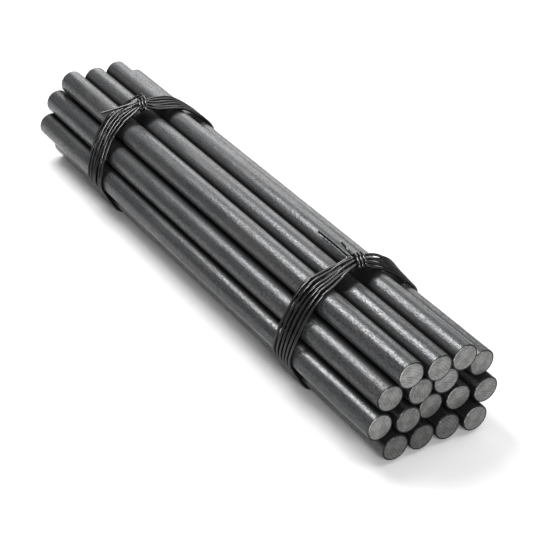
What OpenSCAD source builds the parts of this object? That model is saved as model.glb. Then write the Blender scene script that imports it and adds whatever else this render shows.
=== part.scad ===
// A bundle of sixteen plain round steel bars, held by two bands of tie wire.
// The bars lie along X with their near ends at +X, and the floor is at Z = 0.
// The origin is at the middle of the bundle's footprint.

/* [Bars] */
// Diameter of every bar
bar_d = 19; // [12:0.5:32]
// Length of every bar
bar_len = 457; // [300:1:900]
// Width of the bevel around a sawn end
end_bevel = 0.4; // [0.2:0.1:1]
// How far each bar, 1 to 16, has slid towards +X
slides = [0, 2.7, 2.4, -2.1, -4.4, -1.8, -2.2, 1.7, -1.1, -3.4, 0.4, -2.4, 2, 2.3, 2.5, 5]; // [-10:0.1:10]

/* [Stacking] */
// Clearance between bars that lie against each other
seat_gap = 0.3; // [0.1:0.1:0.6]
// Gap between neighbouring bars of the bottom row
row_gap = 0.9; // [0.3:0.1:2]
// Gap between the second and third bars of the top row
top_gap = 0.3; // [0.1:0.1:2]
// Gap between the top row's third bar and the bar perched on the second row's end
perch_gap = 3.8; // [0.3:0.1:5]
// Gap between the third row's outer bar and the bar that it leans away from
lean_gap = 2; // [0.3:0.1:3]

/* [Tie wire] */
// Diameter of the tie wire
wire_d = 2; // [1.2:0.1:3]
// Turns of wire in a band
turns = 6; // [4:1:7]
// Distance between the turns of a band
turn_pitch = 3.9; // [3:0.1:5]
// Clearance between the wire and the bars
wire_gap = 0.3; // [0.1:0.1:0.6]
// How loosely the turns round the corners of the top of the bundle
slack_top = 2.4; // [0.5:0.1:4]
// How loosely they round the corners of its underside
slack_bottom = 0.2; // [0.1:0.05:0.5]
// Coils of wire round the gathered turns
knot_coils = 3; // [2:1:5]
// Distance between those coils
coil_pitch = 2.5; // [2.3:0.1:4]
// How far the coils slant across the turns
coil_slant = 3; // [0:0.5:5]

/* [Front band] */
// Distance from the middle of the bars to the band
front_band_x = 132.3; // [60:0.1:190]
// How far the knot lies behind the band
front_drift = 5; // [0:0.1:20]
// How far from the knot the band runs as far back as the knot does
front_drift_reach = 24; // [10:1:80]
// How far the knot lies to the left of the top row's third bar
front_knot_offset = 7; // [0:0.5:9]
// Distance between the turns in the knot
front_knot_pitch = 1.9; // [1.5:0.1:3]
// How far from the knot the turns are gathered
front_pinch_reach = 25; // [10:1:40]

/* [Rear band] */
// Distance from the middle of the bars to the band
rear_band_x = 130.2; // [60:0.1:190]
// How far the knot lies behind the band
rear_drift = 8.7; // [0:0.1:20]
// How far from the knot the band runs as far back as the knot does
rear_drift_reach = 55; // [10:1:80]
// How far the knot lies to the left of the top row's second bar
rear_knot_offset = 4; // [0:0.5:9]
// Distance between the turns in the knot
rear_knot_pitch = 2.3; // [1.5:0.1:3]
// How far from the knot the turns are gathered
rear_pinch_reach = 12; // [10:1:40]

/* [Hidden] */
$fn = 48;

touch = bar_d + seat_gap;
wire_r = wire_d / 2;
wire_reach = bar_d / 2 + wire_gap + wire_r;
wire_sides = 8;
corner_r = wire_r / cos(180 / wire_sides);
// Turns closer than this lie in two layers
wire_room = 1.25 * wire_d;
// From the outer layer of the gathered turns to the coil, which passes under them too
grip = 1.45 * wire_d;
lift_reach = 7 * wire_d;

function bar_name(i) = str("bar_", i < 10 ? "0" : "", i);
function unit(v) = v / norm(v);
function sum(v) = v * [for (x = v) 1];

// Centre of a circle at distance ra from a and rb from b, left of the line from a to b
function nest(a, b, ra = touch, rb = touch) =
    let (d = norm(b - a), u = (b - a) / d, along = (ra * ra - rb * rb + d * d) / (2 * d))
    a + along * u + sqrt(ra * ra - along * along) * [-u[1], u[0]];

// Bar centres in the YZ plane, from the bottom row up; each rests against the two named
floor_pitch = bar_d + row_gap;
c13 = [0, 0];
c14 = [floor_pitch, 0];
c15 = [2 * floor_pitch, 0];
c16 = [3 * floor_pitch, 0];
c11 = nest(c13, c14);
c10 = nest(c14, c15);
c9 = nest(c15, c16);
c12 = nest(c13, c11);
c8 = nest(c9, c16);
c6 = nest(c11, c10);
c7 = nest(c10, c9);
c2 = nest(c6, c7);
c1 = nest(c6, c2);
c5 = nest(c12, c11, touch, touch + lean_gap - seat_gap);
c3 = nest(c2, c7, touch + top_gap - seat_gap, touch);
c4 = nest(c3, c8, touch + perch_gap - seat_gap, touch);
stack = [c1, c2, c3, c4, c5, c6, c7, c8, c9, c10, c11, c12, c13, c14, c15, c16];

// Centre line of a loose turn where its outward direction is at angle a: a rounded hull
function slack_at(a) = slack_bottom + (slack_top - slack_bottom) * (1 + sin(a)) / 2;
function turn_point(a) =
    let (
        n = [cos(a), sin(a)],
        reach = [for (c = stack) c * n],
        far = max(reach),
        weights = [for (r = reach) exp((r - far) / slack_at(a))],
        middle = weights * stack / sum(weights)
    )
    middle + (far + slack_at(a) * ln(sum(weights)) - middle * n + wire_reach) * n;

angle_step = 8;
longest_step = 6;
corners = [for (a = [0 : angle_step : 359]) turn_point(a)];
turn_line = [
    for (i = [0 : len(corners) - 1])
    let (p = corners[i], q = corners[(i + 1) % len(corners)], n = ceil(norm(q - p) / longest_step))
    for (j = [0 : n - 1]) p + (q - p) * j / n
];
ys = [for (p = turn_line) p[0]];
zs = [for (p = turn_line) p[1]];
shift = [-(min(ys) + max(ys)) / 2, corner_r - min(zs)];
centres = [for (c = stack) c + shift];
loop = [for (p = turn_line) p + shift];
mid_z = max([for (c = centres) c[1]]) / 2;
middle_x = -(max(slides) + min(slides)) / 2;

// Where on the loop a knot is tied: the point of its upper side nearest to y
function knot_index(y) =
    let (away = [for (p = loop) p[1] > mid_z ? abs(p[0] - y) : bar_len])
    search(min(away), away)[0];

// How strongly a knot acts on a point of the loop: 1 at the knot, 0 far from it
function pull(p, knot, reach, power = 2) = exp(-pow(norm(p - knot) / reach, power));

// How far the second layer lies above the first where the turns are at a pitch
function rise(pitch) = sqrt(max(0, wire_room * wire_room - pitch * pitch));

// All turns of a band, from one side of its knot to the other
function winding(x, knot_i, drift, drift_reach, knot_pitch, pinch_reach) =
    let (count = len(loop), knot = loop[knot_i], bare = ceil(knot_coils * coil_pitch / longest_step))
    [
        for (i = [bare : turns * count - bare])
        let (
            p = loop[(knot_i + i) % count],
            k = i / count,
            pitch = turn_pitch + (knot_pitch - turn_pitch) * pull(p, knot, pinch_reach),
            lift = grip * pull(p, knot, lift_reach) + (round(k) % 2) * rise(pitch)
        )
        [x + (k - turns / 2) * pitch - drift * pull(p, knot, drift_reach, 4), p[0], p[1] + lift]
    ];

// Coil round the gathered turns, from the knot's own centre; it ends behind them
coil_end = 90 - 360 * (knot_coils - 0.5);
function coil(knot_pitch) = [
    for (a = [90 : -20 : coil_end])
    [
        ((turns - 2) / 2 * knot_pitch + 1.5 * grip) * sin(a),
        coil_pitch * (a - (90 + coil_end) / 2) / 360 - coil_slant * sin(a),
        (rise(knot_pitch) / 2 + grip) * cos(a)
    ]
];

// Directions across a path, each turned as little as it can be from the one before
function across(path, i, before) =
    let (t = along(path, i), a = unit(before - (before * t) * t))
    i == len(path) - 1 ? [a] : concat([a], across(path, i + 1, a));
function along(path, i) = unit(path[min(i + 1, len(path) - 1)] - path[max(i - 1, 0)]);

// Corners of the wire's eight-sided section at every point of its path
function wire_points(path) =
    let (sides = across(path, 0, [0, 0.3, 1]))
    [
        for (i = [0 : len(path) - 1], k = [0 : wire_sides - 1])
        let (a = sides[i], b = cross(along(path, i), a), turn = 360 * (k + 0.5) / wire_sides)
        path[i] + corner_r * (cos(turn) * a + sin(turn) * b)
    ];

module wire(path) {
    count = len(path);
    walls = [
        for (i = [0 : count - 2], k = [0 : wire_sides - 1])
        let (here = i * wire_sides, next = here + wire_sides, m = (k + 1) % wire_sides)
        [here + k, next + k, next + m, here + m]
    ];
    caps = [
        [for (k = [0 : wire_sides - 1]) k],
        [for (k = [wire_sides - 1 : -1 : 0]) (count - 1) * wire_sides + k]
    ];
    polyhedron(wire_points(path), concat(walls, caps));
}

module bar(i) {
    r = bar_d / 2;
    color("dimgray")
    translate([middle_x + slides[i - 1] - bar_len / 2, centres[i - 1][0], centres[i - 1][1]])
    rotate([90, 0, 90])
    rotate_extrude()
    polygon([
        [0, 0], [r - end_bevel, 0], [r, end_bevel],
        [r, bar_len - end_bevel], [r - end_bevel, bar_len], [0, bar_len]
    ]);
}

// A band is one length of wire: a cut end, the turns, the coil round them and the other end
module tie(x, knot_i, drift, drift_reach, knot_pitch, pinch_reach, first_end, last_end) {
    knot = [x - drift, loop[knot_i][0], loop[knot_i][1] + grip + rise(knot_pitch) / 2];
    color([0.12, 0.12, 0.13])
    wire(concat(
        [for (p = first_end) knot + p],
        winding(x, knot_i, drift, drift_reach, knot_pitch, pinch_reach),
        [for (p = coil(knot_pitch)) knot + p],
        [for (p = last_end) knot + p]
    ));
}

// Points of the cut ends, from the centre of their knot
front_first_end = [
    [-50, 1.6, -4.8], [-38, 1.2, -4], [-26, 0.5, -3.2], [-15, -1, -2.6], [-10, -2.6, -2.6],
    [-6.8, -5, -2]
];
front_last_end = [
    [-7.9, -2.4, 2.6], [-6, -3.8, 5], [-2.5, -3.6, 6.4], [1.2, -1.6, 6.8], [2, 1.6, 6.8],
    [-1, 3.8, 6.6], [-6, 3, 6.2], [-14, 1.6, 5.4], [-24, 0.8, 4]
];
rear_first_end = [[-4, 2, 7], [-6.5, -0.5, 7], [-9.2, -2.6, 5.2], [-9.8, -5.2, 2.4]];
rear_last_end = [[-10.5, -3.4, -1.8], [-13, -8.5, -1.8], [-13.5, -16, -3], [-12, -26, -5]];

for (i = [1 : 16])
    bar(i);
tie(  // front_tie_wire
        middle_x + front_band_x, knot_index(centres[2][0] - front_knot_offset), front_drift,
        front_drift_reach, front_knot_pitch, front_pinch_reach, front_first_end, front_last_end
    );
tie(  // rear_tie_wire
        middle_x - rear_band_x, knot_index(centres[1][0] - rear_knot_offset), rear_drift,
        rear_drift_reach, rear_knot_pitch, rear_pinch_reach, rear_first_end, rear_last_end
    );
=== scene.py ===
from math import atan2, ceil, cos, exp, log, pi, radians, sin, sqrt

import bpy
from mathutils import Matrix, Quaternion, Vector, noise


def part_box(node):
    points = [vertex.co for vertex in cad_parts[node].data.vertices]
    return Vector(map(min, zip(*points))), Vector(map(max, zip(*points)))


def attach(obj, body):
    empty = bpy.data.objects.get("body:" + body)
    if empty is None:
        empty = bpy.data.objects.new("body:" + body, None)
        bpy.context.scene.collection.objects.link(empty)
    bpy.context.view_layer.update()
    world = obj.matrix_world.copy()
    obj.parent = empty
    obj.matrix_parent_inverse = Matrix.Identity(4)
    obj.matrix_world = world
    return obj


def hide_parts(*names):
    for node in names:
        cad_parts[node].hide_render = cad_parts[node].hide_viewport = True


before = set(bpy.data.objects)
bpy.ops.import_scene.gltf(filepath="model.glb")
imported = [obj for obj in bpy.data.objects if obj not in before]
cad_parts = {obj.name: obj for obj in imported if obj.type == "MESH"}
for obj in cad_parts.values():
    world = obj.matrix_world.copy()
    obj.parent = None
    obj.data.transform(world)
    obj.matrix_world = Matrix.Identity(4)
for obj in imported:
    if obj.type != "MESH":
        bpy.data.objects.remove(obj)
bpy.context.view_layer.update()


MM = 0.001

# ---------------------------------------------------------------- sizes taken from the frame

BAR_NODES = sorted(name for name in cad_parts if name.startswith("bar_"))
FRONT_TIE = "front_tie_wire"
REAR_TIE = "rear_tie_wire"
BAR_BOXES = [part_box(name) for name in BAR_NODES]
BAR_CENTRES = [((low.y + high.y) / 2, (low.z + high.z) / 2) for low, high in BAR_BOXES]
BAR_RADIUS = (BAR_BOXES[0][1].z - BAR_BOXES[0][0].z) / 2
BAR_LENGTH = BAR_BOXES[0][1].x - BAR_BOXES[0][0].x
FIRST_BAR_MIDDLE = (BAR_BOXES[0][0].x + BAR_BOXES[0][1].x) / 2
TOP_OF_BARS = max(high.z for low, high in BAR_BOXES)

# How many corners a face has that belongs to a side; the ends have more
SIDE_CORNERS = 4


def deselect_all():
    if bpy.context.mode != "OBJECT":
        bpy.ops.object.mode_set(mode="OBJECT")
    bpy.ops.object.select_all(action="DESELECT")


def make_active(piece):
    deselect_all()
    piece.select_set(True)
    bpy.context.view_layer.objects.active = piece


def apply_place(piece):
    make_active(piece)
    bpy.ops.object.transform_apply(location=True, rotation=True, scale=True)


# ---------------------------------------------------------------- materials

SCALE_COOL = (0.020, 0.0232, 0.027)
SCALE_WARM = (0.028, 0.0262, 0.0245)
SCALE_DRAWN = (0.044, 0.0465, 0.050)
SCALE_BAND = (0.014, 0.014, 0.014)
SCALE_LINE = (0.006, 0.006, 0.006)
SCALE_PIT = (0.009, 0.0085, 0.0085)
SCALE_SCRATCH = (0.13, 0.132, 0.134)
SCALE_WORN = (0.083, 0.085, 0.088)
# The black of the painted shade under the tie bands and between the bars
PAINTED_SHADE_BLACK = (0.004, 0.004, 0.004)
SAWN_DARK = (0.165, 0.165, 0.162)
SAWN_BRIGHT = (0.365, 0.365, 0.358)
RIM_DARK = (0.010, 0.010, 0.011)
# The colour of the painted glint on the burr
BURR_GLINT_BRIGHT = (0.6, 0.6, 0.59)
WIRE_BLACK = (0.003, 0.003, 0.0035)
WIRE_GREY = (0.006, 0.006, 0.0065)
WIRE_CUT_DULL = (0.62, 0.62, 0.60)
WIRE_CUT_BRIGHT = (0.82, 0.81, 0.79)
FLOOR_GREY = (0.50, 0.50, 0.50)
FLOOR_PALE = (0.52, 0.52, 0.52)

# How much of the scale shines as bare metal, and how glossy the rest of it is
SCALE_METAL = 0.45
SCALE_GLOSS = 0.42
# The wire's gloss: where it faces the eye, where it turns away, and all over where only one
# value can be kept
WIRE_GLOSS = 0.55
WIRE_EDGE_GLOSS = 0.05
WIRE_MEAN_GLOSS = 0.3

# How many grains of each pattern go to a metre, along a bar, across it and up
STREAKS = (9, 620, 620)
BANDS = (5, 190, 190)
DARK_LINES = (4, 460, 460)
PATCHES = (26, 80, 80)
PITS = (420, 620, 620)
MOTTLE = (480, 900, 900)
FINE_GRAIN = (900, 1200, 1200)
SCRATCHES = (14, 1500, 1500)
TIE_SHADE_GRAIN = (60, 160, 160)
RIM_GRAIN = (420, 420, 420)
WIRE_FILM = (110, 110, 110)
WIRE_GRAIN = (1600, 1600, 1600)
WIRE_CUT_GRAIN = (2200, 2200, 2200)
FLOOR_GRAIN = (30, 30, 30)

# Where a saw stood, in bar diameters from the corner of the square round a face, and how close
# its two sets of marks lie, in radians to a diameter
SAW_PIVOT = (-1.1, 0.5, 0)
WIDE_MARKS = 60
NARROW_MARKS = 97

# Which noise values a change runs between: a soft change and a firmer one
SOFT = (0.3, 0.7)
FIRM = (0.35, 0.65)
WHOLE = (0, 1)

# What tints the scale, in this order: a pattern, the values that its change runs between, how
# much of the tint it brings at each of them, and the tint
SCALE_TINTS = (
    ("patches", (0.38, 0.62), (0, 1), SCALE_WARM),
    ("streaks", SOFT, (0, 0.6), SCALE_DRAWN),
    ("bands", FIRM, (0.5, 0), SCALE_BAND),
    ("lines", WHOLE, (0, 0.75), SCALE_LINE),
    ("pits", (0.58, 0.70), (0, 0.6), SCALE_PIT),
    ("scratches", WHOLE, (0, 0.5), SCALE_SCRATCH),
    ("mottle", (0.42, 0.62), (0, 0.6), SCALE_WORN),
)
# What makes the scale rougher or smoother: a pattern, its change, and how much at each end
SCALE_ROUGH = (
    ("patches", FIRM, (-0.05, 0.06)),
    ("mottle", FIRM, (0.08, -0.08)),
    ("fine", SOFT, (-0.08, 0.08)),
    ("lines", WHOLE, (0, 0.14)),
)
# What roughens the scale's surface: a pattern and how high it stands
SCALE_RELIEF = (
    ("streaks", 0.08 * MM), ("pits", 0.12 * MM), ("mottle", 0.025 * MM), ("fine", 0.06 * MM),
)
# What the painted shade under the tie bands and between the bars does to the scale: how black
# it makes it, how much it roughens it and how much gloss it takes from it
SHADE_COVER = 0.96
SHADE_ROUGHENS = 0.3
SHADE_DULLS = 0.39


class Nodes:
    """A material's node tree, with a short way to add and join nodes."""

    def __init__(self, name):
        self.material = bpy.data.materials.new(name)
        self.material.use_nodes = True
        self.tree = self.material.node_tree
        self.shader = self.tree.nodes["Principled BSDF"]

    def add(self, kind):
        return self.tree.nodes.new(kind)

    def join(self, source, target):
        self.tree.links.new(source, target)

    def feed(self, value, socket):
        """Join a node's output to a socket, or set the socket to a number or a colour."""
        if hasattr(value, "is_output"):
            self.join(value, socket)
        elif isinstance(value, (int, float)):
            socket.default_value = value
        else:
            socket.default_value = (*value, 1)

    def finish(self, **values):
        """Set the shader's own sockets: Base_Color stands for Base Color."""
        for name, value in values.items():
            self.feed(value, self.shader.inputs[name.replace("_", " ")])

    def coordinates(self, output="Object", scale=(1, 1, 1), shift=(0, 0, 0), turn=(0, 0, 0)):
        place = self.add("ShaderNodeTexCoord")
        mapping = self.add("ShaderNodeMapping")
        mapping.inputs["Location"].default_value = shift
        mapping.inputs["Rotation"].default_value = turn
        mapping.inputs["Scale"].default_value = scale
        self.join(place.outputs[output], mapping.inputs["Vector"])
        return mapping.outputs["Vector"]

    def grain(self, vector, scale=1, detail=3, roughness=0.5, distortion=0):
        node = self.add("ShaderNodeTexNoise")
        node.inputs["Scale"].default_value = scale
        node.inputs["Detail"].default_value = detail
        node.inputs["Roughness"].default_value = roughness
        node.inputs["Distortion"].default_value = distortion
        self.join(vector, node.inputs["Vector"])
        return node.outputs["Fac"]

    def spread(self, value, low, high, to_low=0, to_high=1):
        node = self.add("ShaderNodeMapRange")
        node.inputs["From Min"].default_value = low
        node.inputs["From Max"].default_value = high
        node.inputs["To Min"].default_value = to_low
        node.inputs["To Max"].default_value = to_high
        self.join(value, node.inputs["Value"])
        return node.outputs["Result"]

    def calc(self, operation, a, b=None):
        node = self.add("ShaderNodeMath")
        node.operation = operation
        self.feed(a, node.inputs[0])
        if b is not None:
            self.feed(b, node.inputs[1])
        return node.outputs["Value"]

    def blend(self, amount, first, second):
        node = self.add("ShaderNodeMix")
        node.data_type = "RGBA"
        factor, colour_a, colour_b = node.inputs[0], node.inputs[6], node.inputs[7]
        self.feed(amount, factor)
        self.feed(first, colour_a)
        self.feed(second, colour_b)
        return node.outputs[2]

    def painted(self, name):
        """A value painted on the piece's own mesh."""
        node = self.add("ShaderNodeAttribute")
        node.attribute_name = name
        return node.outputs["Fac"]

    def bump(self, height, distance, over=None):
        node = self.add("ShaderNodeBump")
        node.inputs["Distance"].default_value = distance
        self.join(height, node.inputs["Height"])
        if over is not None:
            self.join(over, node.inputs["Normal"])
        return node.outputs["Normal"]


def shade_under_ties(m):
    """How much painted shade a place under a tie band gets; it shows between the turns."""
    apart = m.add("ShaderNodeSeparateXYZ")
    m.join(m.coordinates(), apart.inputs[0])
    ragged = m.grain(m.coordinates(scale=TIE_SHADE_GRAIN, shift=(2, 2, 9)))
    from_tie = []
    for band in (FRONT_BAND, REAR_BAND):
        off = m.calc("SUBTRACT", apart.outputs["X"], band["x"] - TIE_SHADE_SHIFT)
        from_tie.append(m.calc("ABSOLUTE", off))
    near = m.calc("MINIMUM", *from_tie)
    near = m.calc("ADD", near, m.spread(ragged, *SOFT, -TIE_SHADE_EDGE / 3, TIE_SHADE_EDGE / 3))
    return m.spread(near, TIE_SHADE_REACH, TIE_SHADE_REACH + TIE_SHADE_EDGE, 1, 0)


def scale_patterns(m):
    """The patterns that the scale's colour, gloss and relief are all drawn from."""
    lines = m.grain(m.coordinates(scale=DARK_LINES, shift=(8, 3, 1)))
    scored = m.coordinates(scale=SCRATCHES, shift=(7.7, 0, 3), turn=(0, 0.02, 0.03))
    return {
        "streaks": m.grain(m.coordinates(scale=STREAKS), detail=4, roughness=0.6),
        "bands": m.grain(m.coordinates(scale=BANDS, shift=(1, 4, 9)), detail=2),
        "lines": m.spread(lines, 0.56, 0.70),
        "patches": m.grain(m.coordinates(scale=PATCHES, shift=(3.1, 1.7, 0.4)),
                           roughness=0.55, distortion=0.6),
        "pits": m.grain(m.coordinates(scale=PITS, shift=(0.2, 5.3, 2.8)),
                        detail=2, roughness=0.6),
        "mottle": m.grain(m.coordinates(scale=MOTTLE, shift=(4, 2, 6)),
                          detail=4, roughness=0.7),
        "fine": m.grain(m.coordinates(scale=FINE_GRAIN), roughness=0.65),
        "scratches": m.spread(m.grain(scored, detail=1), 0.70, 0.78),
    }


def scale_colour(m, pattern, painted_shade):
    """Blue-grey to brown, lighter where drawn, scored or worn, black in its lines and pits and
    in the painted shade.
    """
    colour = SCALE_COOL
    for name, change, amounts, tint in SCALE_TINTS:
        colour = m.blend(m.spread(pattern[name], *change, *amounts), colour, tint)
    return m.blend(m.calc("MULTIPLY", painted_shade, SHADE_COVER), colour, PAINTED_SHADE_BLACK)


def scale_roughness(m, pattern, painted_shade):
    """Smooth where drawn and worn, rough in the grain and the lines, dull under the painted
    shade.
    """
    rough = m.spread(pattern["streaks"], 0.25, 0.75, 0.27, 0.36)
    for name, change, amounts in SCALE_ROUGH:
        rough = m.calc("ADD", rough, m.spread(pattern[name], *change, *amounts))
    return m.calc("ADD", rough, m.calc("MULTIPLY", painted_shade, SHADE_ROUGHENS))


def scale_relief(m, pattern):
    """Drawn lines, pits and grain, each laid over the one before."""
    normal = None
    for name, height in SCALE_RELIEF:
        normal = m.bump(pattern[name], height, over=normal)
    return normal


def mill_scale():
    """Hot-rolled steel: grey-blue scale with drawn streaks, worn patches and fine pits."""
    m = Nodes("mill_scale")
    pattern = scale_patterns(m)
    # Painted shade on the sides where the bars face each other
    gap_shade = m.spread(m.painted("painted_gap_shade"), 0.1, 0.9)
    # Painted shade under the tie bands, joined with the painted shade between the bars
    painted_shade = m.calc("MAXIMUM", shade_under_ties(m), gap_shade)
    dulled = m.calc("SUBTRACT", SCALE_GLOSS, m.calc("MULTIPLY", painted_shade, SHADE_DULLS))
    # The socket keeps this value under the link, for what can't follow the link
    m.finish(Specular_IOR_Level=SCALE_GLOSS)
    m.finish(
        Base_Color=scale_colour(m, pattern, painted_shade),
        Metallic=m.calc("SUBTRACT", SCALE_METAL, m.calc("MULTIPLY", painted_shade, SCALE_METAL)),
        Roughness=scale_roughness(m, pattern, painted_shade),
        Specular_IOR_Level=dulled,
        Normal=scale_relief(m, pattern),
    )
    return m.material


def sawn_steel():
    """Bare steel left by a saw: fine curved marks, dull where the cut was rough."""
    m = Nodes("sawn_steel")
    across = m.coordinates("UV")
    wobble = m.grain(across, 4)
    blade = m.add("ShaderNodeVectorMath")
    blade.operation = "DISTANCE"
    m.join(across, blade.inputs[0])
    blade.inputs[1].default_value = SAW_PIVOT
    reach = m.calc("ADD", blade.outputs["Value"], m.spread(wobble, 0, 1, -0.02, 0.02))
    wide_marks = m.calc("SINE", m.calc("MULTIPLY", reach, WIDE_MARKS))
    narrow_marks = m.calc("SINE", m.calc("MULTIPLY", reach, NARROW_MARKS))
    marks = m.calc("ADD", m.calc("MULTIPLY", wide_marks, 0.5),
                   m.calc("MULTIPLY", narrow_marks, 0.5))
    drag = m.grain(m.coordinates("UV", scale=(17, 3, 1)), detail=4, roughness=0.7)
    cloud = m.grain(across, 3.2)
    fine = m.grain(across, 17, detail=4, roughness=0.7)
    tone = m.calc("ADD", m.spread(marks, -1, 1, 0.18, 0.82),
                  m.spread(drag, *SOFT, -0.45, 0.45))
    tone = m.calc("ADD", tone, m.spread(fine, *SOFT, -0.4, 0.4))
    tone = m.calc("ADD", tone, m.spread(cloud, *SOFT, -0.25, 0.25))
    cut = m.blend(m.spread(tone, 0, 1), SAWN_DARK, SAWN_BRIGHT)
    normal = m.bump(marks, 0.04 * MM)
    m.finish(
        # The face's own tone, with painted shade darkening the bottom row
        Base_Color=m.blend(m.painted("cut_tone_and_shade"), (0, 0, 0), cut),
        Metallic=0.8,
        Roughness=m.spread(tone, 0, 1, 0.52, 0.36),
        Normal=m.bump(drag, 0.07 * MM, over=normal),
    )
    return m.material


def rim_with_glint():
    """The rim: dark with scale, but for the burr the saw left, painted bright there as a glint
    where the light catches it.
    """
    m = Nodes("burred_rim_with_glint")
    worn = m.grain(m.coordinates(scale=RIM_GRAIN), roughness=0.6)
    # Where the burr carries its painted glint, worn ragged
    bare = m.calc("ADD", m.painted("burr_and_glint"), m.spread(worn, *SOFT, -0.25, 0.25))
    m.finish(
        Base_Color=m.blend(m.spread(bare, 0.35, 0.6), RIM_DARK, BURR_GLINT_BRIGHT),
        Metallic=0.7,
        Roughness=m.spread(bare, *SOFT, 0.5, 0.36),
    )
    return m.material


def annealed_wire():
    """Black annealed wire with a thin film of oil."""
    m = Nodes("annealed_wire")
    dull = m.grain(m.coordinates(scale=WIRE_FILM), detail=2)
    fine = m.grain(m.coordinates(scale=WIRE_GRAIN), detail=2)
    turned_away = m.add("ShaderNodeLayerWeight")
    turned_away.inputs["Blend"].default_value = 0.5
    gloss = m.spread(turned_away.outputs["Facing"], 0.25, 0.85, WIRE_GLOSS, WIRE_EDGE_GLOSS)
    # The socket keeps this value under the link, for what can't follow the link
    m.finish(Specular_IOR_Level=WIRE_MEAN_GLOSS)
    m.finish(
        Base_Color=m.blend(m.spread(dull, *FIRM), WIRE_BLACK, WIRE_GREY),
        Roughness=m.spread(dull, *SOFT, 0.08, 0.13),
        Specular_IOR_Level=gloss,
        Normal=m.bump(fine, 0.002 * MM),
    )
    return m.material


def cut_wire():
    """The bright end that the cutters leave on a wire."""
    m = Nodes("cut_wire_end")
    smear = m.grain(m.coordinates(scale=WIRE_CUT_GRAIN), detail=2)
    m.finish(
        Base_Color=m.blend(m.spread(smear, *SOFT), WIRE_CUT_DULL, WIRE_CUT_BRIGHT),
        Metallic=0.3,
        Roughness=m.spread(smear, *SOFT, 0.3, 0.45),
    )
    return m.material


def studio_floor():
    """A matt, pale grey floor."""
    m = Nodes("studio_floor")
    speckle = m.grain(m.coordinates(scale=FLOOR_GRAIN), detail=2)
    m.finish(
        Base_Color=m.blend(m.spread(speckle, *SOFT), FLOOR_GREY, FLOOR_PALE),
        Roughness=0.9,
        Specular_IOR_Level=0.1,
    )
    return m.material


# ---------------------------------------------------------------- bars

BAR_SIDES = 96
BEVEL = 0.65 * MM
BEVEL_SEGMENTS = 3
BEVEL_PROFILE = 0.6
# A shallow ring just inside the rim, and the border between it and the middle of the face
RING_WIDTH = 0.4 * MM
RING_DEPTH = 0.1 * MM
BORDER_WIDTH = 1.2 * MM
# How far from the end of a bar its rim's finish may reach
END_ZONE = 3 * MM
# How squarely a face looks along the bar: an end of the cylinder, a cut face, a part of the rim
SQUARE_END = 0.99
CUT_FACE = 0.9
RIM_FACE = 0.2
BAR_SMOOTH = radians(25)

# The saw left each near face its own way: how far it ran out of square, in degrees towards +Y
# and upwards; the way its marks run, in degrees from level; how bright the cut looks, its own
# tone with painted shade that darkens the bottom row
SAW_CUTS = {
    "bar_01": (1.0, -1.2, 62, 0.78), "bar_02": (-0.8, 1.4, 48, 0.64),
    "bar_03": (1.2, 0.6, 96, 0.60), "bar_04": (-1.0, 0.8, 118, 0.57),
    "bar_05": (1.6, -0.6, 25, 0.66), "bar_06": (-1.4, -0.8, 12, 0.56),
    "bar_07": (0.8, 1.2, 70, 0.66), "bar_08": (-0.6, 1.2, 68, 0.52),
    "bar_09": (1.4, 1.6, 80, 0.68), "bar_10": (-1.8, 1.0, 88, 0.60),
    "bar_11": (0.8, -1.0, 130, 0.48), "bar_12": (-1.2, -1.0, 140, 0.80),
    "bar_13": (1.2, 1.4, 35, 0.38), "bar_14": (-0.6, 1.8, 150, 0.32),
    "bar_15": (1.0, -1.4, 38, 0.37), "bar_16": (-1.4, 1.0, 110, 0.55),
}
FAR_CUT_BRIGHT = 0.6
# Where round a face the burr stands and its painted glint lies, on the side where the light
# catches the rim, in radians from +Y towards +Z, how high the burr stands, and how quickly it
# fades to each side
BURR_AND_GLINT_SIDE = 2.45
BURR_LIP = 0.12 * MM
BURR_FADE = 1.5
# Painted shade between bars: the gap at which a side starts to darken, and the gap at which it
# is black
GAP_SHADE_STARTS = 5.5 * MM
GAP_SHADE_BLACK = 1.8 * MM


def select_faces(piece, wanted):
    """In edit mode, select exactly the faces that wanted(face) says."""
    bpy.ops.mesh.select_mode(type="FACE")
    bpy.ops.mesh.select_all(action="DESELECT")
    bpy.ops.object.mode_set(mode="OBJECT")
    for face in piece.data.polygons:
        face.select = wanted(face)
    bpy.ops.object.mode_set(mode="EDIT")


def is_end(face):
    """Whether a face closes the end of a bar: it is the one with a corner to every side."""
    return abs(face.normal.x) > SQUARE_END and len(face.vertices) > SIDE_CORNERS


def off_axis(point):
    """How far a point, taken from a bar's middle, lies from its axis."""
    return sqrt(point.y ** 2 + point.z ** 2)


def model_bar(materials):
    """One bar on the X axis: a drawn cylinder with its rims turned over and its ends sawn."""
    deselect_all()
    bpy.ops.mesh.primitive_cylinder_add(
        vertices=BAR_SIDES, radius=BAR_RADIUS, depth=BAR_LENGTH,
        end_fill_type="NGON", location=(0, 0, 0), rotation=(0, pi / 2, 0),
    )
    bar = bpy.context.object
    apply_place(bar)
    for material in materials:
        bar.data.materials.append(material)
    bpy.ops.object.mode_set(mode="EDIT")
    select_faces(bar, is_end)
    bpy.ops.mesh.region_to_loop()
    bpy.ops.mesh.bevel(offset=BEVEL, segments=BEVEL_SEGMENTS, profile=BEVEL_PROFILE,
                       affect="EDGES")
    select_faces(bar, is_end)
    bpy.ops.mesh.inset(thickness=RING_WIDTH)
    bpy.ops.mesh.inset(thickness=BORDER_WIDTH)
    bpy.ops.object.mode_set(mode="OBJECT")
    return bar


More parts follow.
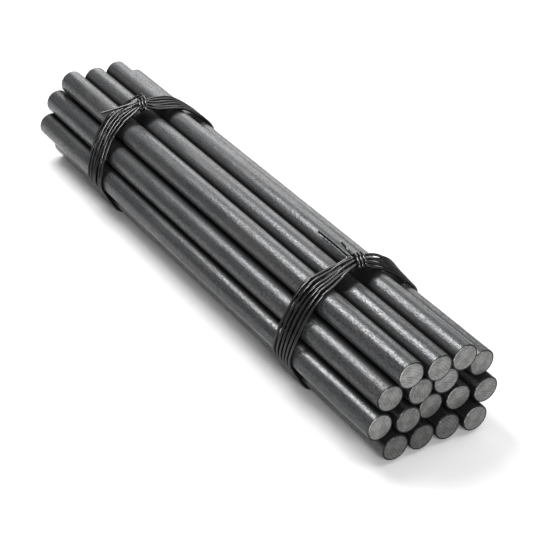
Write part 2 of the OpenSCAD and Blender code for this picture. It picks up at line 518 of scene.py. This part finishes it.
def gap_shade_amount(point, middle):
    """How much painted shade a point of this bar's side gets from the other bars: more the
    narrower the gap.
    """
    others = [c for c in BAR_CENTRES
              if abs(c[0] - middle.y) + abs(c[1] - middle.z) > BAR_RADIUS]
    gap = min(sqrt((point.y - y) ** 2 + (point.z - z) ** 2) for y, z in others) - BAR_RADIUS
    return min(1, max(0, (GAP_SHADE_STARTS - gap) / (GAP_SHADE_STARTS - GAP_SHADE_BLACK)))


def saw_ends(bar, middle, slant_y, slant_z, tone_and_shade):
    """Cut both ends a little out of square, with a ring and a burr that carries a painted
    glint, and paint shade on the sides where they face other bars.
    """
    burr_and_glint = bar.data.attributes.new("burr_and_glint", "FLOAT", "POINT")
    painted_gap_shade = bar.data.attributes.new("painted_gap_shade", "FLOAT", "POINT")
    for index, vertex in enumerate(bar.data.vertices):
        off = vertex.co - middle
        out = off_axis(off)
        side = 1 if off.x > 0 else -1
        if out < BAR_RADIUS - BEVEL / 2:
            # The burr and its painted glint, dimmer where the face's painted shade is darker
            from_burr = atan2(off.z, off.y) - BURR_AND_GLINT_SIDE
            burr_and_glint.data[index].value = tone_and_shade * max(0, cos(from_burr)) ** BURR_FADE
        # Painted shade where another bar lies close
        painted_gap_shade.data[index].value = gap_shade_amount(vertex.co, middle)
        if abs(off.x) < BAR_LENGTH / 2 - 2 * BEVEL:
            continue
        lean = (abs(slant_y) + abs(slant_z)) * BAR_RADIUS
        lean -= slant_y * off.y + slant_z * off.z * side
        if out < BAR_RADIUS - BEVEL - RING_WIDTH / 2:
            lean += RING_DEPTH
        elif out < BAR_RADIUS - BEVEL / 2:
            lean -= BURR_LIP * burr_and_glint.data[index].value
        vertex.co.x = middle.x + side * min(abs(off.x) - lean, BAR_LENGTH / 2)


def finish_faces(bar, middle, mark_angle, tone_and_shade):
    """Give the sides, cut faces and rims their finish, and turn the saw marks on the cuts."""
    cut = bar.data.uv_layers.active
    tone = bar.data.attributes.new("cut_tone_and_shade", "FLOAT", "FACE")
    for face in bar.data.polygons:
        off = face.center - middle
        along = abs(face.normal.x)
        at_end = abs(off.x) > BAR_LENGTH / 2 - END_ZONE
        inside = off_axis(off) < BAR_RADIUS - BEVEL - RING_WIDTH
        if at_end and along > CUT_FACE and inside:
            face.material_index = 1
        elif at_end and along > RIM_FACE:
            face.material_index = 2
        else:
            face.material_index = 0
        # Near faces take their own tone with painted shade on the bottom row; far faces take an
        # even tone
        tone.data[face.index].value = tone_and_shade if off.x > 0 else FAR_CUT_BRIGHT
        for loop in face.loop_indices:
            corner = bar.data.vertices[bar.data.loops[loop].vertex_index].co - middle
            y, z = corner.y / (2 * BAR_RADIUS), corner.z / (2 * BAR_RADIUS)
            cut.data[loop].uv = (
                0.5 + y * cos(mark_angle) + z * sin(mark_angle),
                0.5 - y * sin(mark_angle) + z * cos(mark_angle),
            )


def make_bars():
    """Model one bar and lay a copy of it, sawn its own way, in the place of each."""
    materials = (mill_scale(), sawn_steel(), rim_with_glint())
    pattern = model_bar(materials)
    for name in BAR_NODES:
        low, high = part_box(name)
        middle = (low + high) / 2
        make_active(pattern)
        bpy.ops.object.duplicate(linked=False)
        bar = bpy.context.object
        bar.name = name.replace("bar", "steel_bar")
        bar.location = middle
        apply_place(bar)
        slant_y, slant_z, mark_angle, tone_and_shade = SAW_CUTS[name]
        saw_ends(bar, middle, radians(slant_y), radians(slant_z), tone_and_shade)
        finish_faces(bar, middle, radians(mark_angle), tone_and_shade)
        make_active(bar)
        bpy.ops.object.shade_smooth_by_angle(angle=BAR_SMOOTH)
        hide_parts(name)
        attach(bar, "root")
    deselect_all()
    bpy.data.objects.remove(pattern, do_unlink=True)


# ---------------------------------------------------------------- tie wire

WIRE_D = 2 * MM
WIRE_GAP = 0.3 * MM
TURNS = 6
TURN_PITCH = 3.9 * MM
# Room that a wire needs beside another, and half the height of the gathered turns at the knot
WIRE_ROOM = 1.25 * WIRE_D
GRIP = 1.45 * WIRE_D
# How far from the knot the turns are lifted off the bars
LIFT_REACH = 7 * WIRE_D
# How much sooner than the first the last turn comes down to the bars beside the knot
SETTLE = 0.6
# How far a turn stands off the hollows between the bars, on top and underneath
SLACK_TOP = 2.4 * MM
SLACK_BOTTOM = 0.2 * MM
REACH = BAR_RADIUS + WIRE_GAP + WIRE_D / 2
LOW_SIDE = TOP_OF_BARS / 2
TURN_STEP = 4
LONGEST_STEP = 3 * MM
# How much looser or tighter than the others a turn may lie, and how this changes by turn
LOOSENESS = 0.12
LOOSENESS_BEAT = 2.1
# How far a turn strays sideways between its neighbours, how fine the straying is to a metre,
# and how unlike each other the turns are
STRAY = 1.6 * MM
STRAY_GRAIN = 30
STRAY_APART = 3

# Each band's place from the middle of the first bar; how far behind it the knot lies and how
# far from the knot the turns follow it; the pitch in the knot and how far from it they are
# gathered; how far the first turn bulges beside the knot; and what its straying starts from
FRONT_BAND = {"x": 132.3 * MM, "drift": 4 * MM, "drift_reach": 24 * MM,
              "knot_pitch": 1.6 * MM, "pinch_reach": 25 * MM, "bulge": 4.4 * MM, "seed": 1.0}
REAR_BAND = {"x": -130.2 * MM, "drift": 7.9 * MM, "drift_reach": 55 * MM,
             "knot_pitch": 2.1 * MM, "pinch_reach": 12 * MM, "bulge": 2.5 * MM, "seed": 5.0}
DRIFT_POWER = 4
# The bulge's middle from the knot, sideways and upwards, and how far along a turn it reaches
BULGE_Y = 19 * MM
BULGE_Z = -11.5 * MM
BULGE_REACH = 15 * MM
DIAGONAL = sqrt(0.5)

KNOT_COILS = 3
COIL_PITCH = 2.5 * MM
COIL_SLANT = 3 * MM
COIL_STEP = 10
COIL_ROOM = 1.25 * GRIP
COIL_START = 90
COIL_MIDDLE = 180 - 180 * KNOT_COILS
# Where a coil ends: behind the turns, or on top of them
END_BEHIND = 270 - 360 * KNOT_COILS
END_ON_TOP = 360 - 360 * KNOT_COILS
# How much wider than the coil the gap is that the first turn leaves for it
FIRST_BARE = 1.4
FRONT_KNOT_OFFSET = 7 * MM
REAR_KNOT_OFFSET = 3 * MM

# Points of the cut ends, in mm from the centre of their knot
FRONT_FIRST_END = [
    (-49.7, 1.6, -4.7), (-38, 1.2, -4), (-26, 0.5, -3.2), (-17, -0.9, -2.2), (-11, -2.4, -0.8),
    (-6.4, -3.4, 0.9), (-4.2, -5.4, 1.6), (-4.6, -8, 1.2),
]
FRONT_LAST_END = [(-8.6, -1.2, 1.4), (-11.5, -1.4, 2.6), (-16, -0.4, 2.8), (-22, 1, 2)]
REAR_FIRST_END = [(-3, 2.1, 6), (-5, -1, 4.4), (-6.3, -4.5, 2.2), (-6.8, -8, 1)]
REAR_LAST_END = [
    (-0.5, -5.5, 2.3), (-1.5, -9.5, 1.1), (-3.2, -14.5, -0.4), (-7, -22, -2.9),
    (-10.8, -29.3, -5.2),
]

WIRE_SMOOTH = radians(50)
WIRE_STEPS = 2
WIRE_ROUNDNESS = 4

# Painted shade on the bars under a band: how far it reaches each side of the middle, its soft
# edge, and how far its middle lies behind the band's
TIE_SHADE_REACH = 8.5 * MM
TIE_SHADE_EDGE = 5 * MM
TIE_SHADE_SHIFT = 2 * MM


def turn_point(angle, looseness):
    """Where a turn's wire lies, in the YZ plane, as it faces outwards at angle: the turns
    follow a rounded hull of the bars."""
    slack = SLACK_BOTTOM + (SLACK_TOP * looseness - SLACK_BOTTOM) * (1 + sin(angle)) / 2
    out = (cos(angle), sin(angle))
    reach = [y * out[0] + z * out[1] for y, z in BAR_CENTRES]
    far = max(reach)
    weights = [exp((r - far) / slack) for r in reach]
    total = sum(weights)
    y = sum(w * c[0] for w, c in zip(weights, BAR_CENTRES)) / total
    z = sum(w * c[1] for w, c in zip(weights, BAR_CENTRES)) / total
    push = far + slack * log(total) - (y * out[0] + z * out[1]) + REACH
    return Vector((0, y + push * out[0], z + push * out[1]))


def turn_line(looseness):
    """A closed turn as evenly filled points."""
    corners = [turn_point(radians(a), looseness) for a in range(0, 360, TURN_STEP)]
    line = []
    for here, there in zip(corners, corners[1:] + corners[:1]):
        count = ceil((there - here).length / LONGEST_STEP)
        line += [here.lerp(there, j / count) for j in range(count)]
    return line


def pull(point, knot, reach, power=2):
    """How strongly a knot acts on a point of a turn."""
    off = sqrt((point.y - knot.y) ** 2 + (point.z - knot.z) ** 2)
    return exp(-((off / reach) ** power))


def rise(pitch):
    """How far the second layer lies above the first where the turns are at a pitch."""
    return sqrt(max(0, WIRE_ROOM ** 2 - pitch ** 2))


def knot_place(knot_y):
    """Where on a turn a knot sits."""
    line = turn_line(1)
    return min((p for p in line if p.z > LOW_SIDE), key=lambda p: abs(p.y - knot_y))


def left_for_knot(point, knot, k):
    """Whether a point of the first or last half turn is left out, to make room for the coil."""
    bare = KNOT_COILS * COIL_PITCH * (FIRST_BARE if k < 0.5 else 1)
    at_knot = point.z > LOW_SIDE and abs(point.y - knot.y) < bare
    return at_knot and not 0.5 < k < TURNS - 0.5


def laid_in_band(point, knot, band, turn, k):
    """Where a point of a turn lies once the turns are side by side and gathered at the knot."""
    last = turn / (TURNS - 1)
    loose = 1 - pull(point, knot, band["pinch_reach"])
    pitch = band["knot_pitch"] + (TURN_PITCH - band["knot_pitch"]) * loose
    reach = LIFT_REACH * (1 - SETTLE * last if point.y > knot.y else 1)
    lift = GRIP * pull(point, knot, reach) + (round(k) % 2) * rise(pitch)
    wander = noise.noise((band["seed"] + turn * STRAY_APART,
                          point.y * STRAY_GRAIN, point.z * STRAY_GRAIN))
    x = band["x"] + (k - TURNS / 2) * pitch + STRAY * loose * wander
    x -= band["drift"] * pull(point, knot, band["drift_reach"], DRIFT_POWER)
    bulge = band["bulge"] * (1 - last) * DIAGONAL
    bulge *= pull(point, knot + Vector((0, BULGE_Y, BULGE_Z)), BULGE_REACH)
    return Vector((x, point.y + bulge, point.z + lift + bulge))


def winding(band, knot_y):
    """All the turns of a band as one path, from one side of its knot to the other."""
    knot = knot_place(knot_y)
    path = []
    for turn in range(TURNS):
        line = turn_line(1 + LOOSENESS * sin(band["seed"] + LOOSENESS_BEAT * turn))
        upper = [i for i, p in enumerate(line) if p.z > LOW_SIDE]
        start = min(upper, key=lambda i: abs(line[i].y - knot.y))
        for i in range(len(line)):
            point = line[(start + i) % len(line)]
            k = turn + i / len(line)
            if not left_for_knot(point, knot, k):
                path.append(laid_in_band(point, knot, band, turn, k))
    return path


def coil(knot, knot_pitch, last):
    """The coil that grips the gathered turns, from in front of them to the angle last."""
    wide = (TURNS - 2) / 2 * knot_pitch + COIL_ROOM
    high = rise(knot_pitch) / 2 + GRIP
    path = []
    for step in range(COIL_START, last - 1, -COIL_STEP):
        a = radians(step)
        along = COIL_PITCH * (step - COIL_MIDDLE) / 360 - COIL_SLANT * sin(a)
        path.append(knot + Vector((wide * sin(a), along, high * cos(a))))
    return path


def wire_piece(name, path, node, materials):
    """Round wire along a path, with its two cut ends closed and bare."""
    deselect_all()
    bpy.ops.curve.primitive_nurbs_path_add(location=(0, 0, 0))
    wire = bpy.context.object
    wire.name = name
    spline = wire.data.splines[0]
    spline.points.add(len(path) - len(spline.points))
    for point, place in zip(spline.points, path):
        point.co = (*place, 1)
    spline.order_u = 4
    spline.use_endpoint_u = True
    spline.resolution_u = WIRE_STEPS
    wire.data.resolution_u = WIRE_STEPS
    wire.data.bevel_depth = WIRE_D / 2
    wire.data.bevel_resolution = WIRE_ROUNDNESS
    wire.data.use_fill_caps = True
    make_active(wire)
    bpy.ops.object.convert(target="MESH")
    wire = bpy.context.object
    wire.data.materials.clear()
    for material in materials:
        wire.data.materials.append(material)
    for face in wire.data.polygons:
        face.material_index = 1 if len(face.vertices) > SIDE_CORNERS else 0
    bpy.ops.object.shade_smooth_by_angle(angle=WIRE_SMOOTH)
    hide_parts(node)
    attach(wire, "root")


def make_tie(node, band, knot_y, first_end, last_end, coil_end, materials):
    """One length of wire: a cut end, the turns, the coil of the knot and the other cut end."""
    band = dict(band, x=band["x"] + FIRST_BAR_MIDDLE)
    height = GRIP + rise(band["knot_pitch"]) / 2
    knot = knot_place(knot_y) + Vector((band["x"] - band["drift"], 0, height))
    path = [knot + Vector(p) * MM for p in first_end]
    path += winding(band, knot_y)
    path += coil(knot, band["knot_pitch"], coil_end)
    path += [knot + Vector(p) * MM for p in last_end]
    wire_piece(node.replace("_wire", ""), path, node, materials)


def make_ties():
    """Wind both bands, each with its knot beside one of the bars of the top row."""
    materials = (annealed_wire(), cut_wire())
    second_bar, third_bar = BAR_CENTRES[1], BAR_CENTRES[2]
    make_tie(FRONT_TIE, FRONT_BAND, third_bar[0] - FRONT_KNOT_OFFSET,
             FRONT_FIRST_END, FRONT_LAST_END, END_BEHIND, materials)
    make_tie(REAR_TIE, REAR_BAND, second_bar[0] - REAR_KNOT_OFFSET,
             REAR_FIRST_END, REAR_LAST_END, END_ON_TOP, materials)


# ---------------------------------------------------------------- stage

CAMERA_AZIMUTH = radians(57.64)
CAMERA_ELEVATION = radians(33.38)
CAMERA_ROLL = radians(0.3)
CAMERA_DISTANCE = 1.1202
CAMERA_LENS = 109.35
CAMERA_SENSOR = 36
AIM = Vector((0.0473, -0.0090, 0.0360))

FLOOR_SIZE = 14
ROOM_LIGHT = 0.25
# Each soft box: where it stands, what it faces, its width and height in metres and its watts
SOFT_BOXES = {
    "far_high": ((-0.66, -0.19, 1.22), (0, 0, 0), 0.65, 0.6, 27),
    "far_right": ((-1.15, 0.85, 0.62), (0, 0, 0.05), 1.3, 0.9, 12),
    "overhead": ((0.35, 0.65, 1.6), (0.1, 0, 0), 1.5, 1.5, 26),
    "near_front": ((1.45, -0.45, 0.85), (0, 0, 0), 0.7, 0.5, 31),
    "near_left": ((0.0, -1.6, 0.8), (0, 0, 0), 1.6, 0.8, 1.5),
}


def make_camera():
    """Look at the bundle from above its near end."""
    data = bpy.data.cameras.new("camera")
    camera = bpy.data.objects.new("camera", data)
    bpy.context.scene.collection.objects.link(camera)
    back = Vector((
        sin(CAMERA_AZIMUTH) * cos(CAMERA_ELEVATION),
        -cos(CAMERA_AZIMUTH) * cos(CAMERA_ELEVATION),
        sin(CAMERA_ELEVATION),
    ))
    camera.location = AIM + CAMERA_DISTANCE * back
    turned = back.to_track_quat("Z", "Y") @ Quaternion((0, 0, 1), CAMERA_ROLL)
    camera.rotation_euler = turned.to_euler()
    data.lens = CAMERA_LENS
    data.sensor_width = CAMERA_SENSOR
    bpy.context.scene.camera = camera


def soft_box(name, place, aim, width, height, power):
    """A rectangular light at place that faces aim."""
    data = bpy.data.lights.new(name, "AREA")
    data.shape = "RECTANGLE"
    data.size = width
    data.size_y = height
    data.energy = power
    light = bpy.data.objects.new(name, data)
    bpy.context.scene.collection.objects.link(light)
    light.location = place
    light.rotation_euler = (Vector(place) - Vector(aim)).to_track_quat("Z", "Y").to_euler()


def make_stage():
    """The floor, an even white room and the soft boxes."""
    deselect_all()
    bpy.ops.mesh.primitive_plane_add(size=FLOOR_SIZE, location=(0, 0, 0))
    floor = bpy.context.object
    floor.name = "floor"
    floor.data.materials.append(studio_floor())
    apply_place(floor)
    world = bpy.data.worlds.new("studio")
    world.use_nodes = True
    room = world.node_tree.nodes["Background"]
    room.inputs["Color"].default_value = (1, 1, 1, 1)
    room.inputs["Strength"].default_value = ROOM_LIGHT
    bpy.context.scene.world = world
    for name, settings in SOFT_BOXES.items():
        soft_box(name, *settings)
    bpy.context.scene.view_settings.view_transform = "Standard"
    bpy.context.scene.view_settings.look = "None"


make_camera()
make_bars()
make_ties()
make_stage()
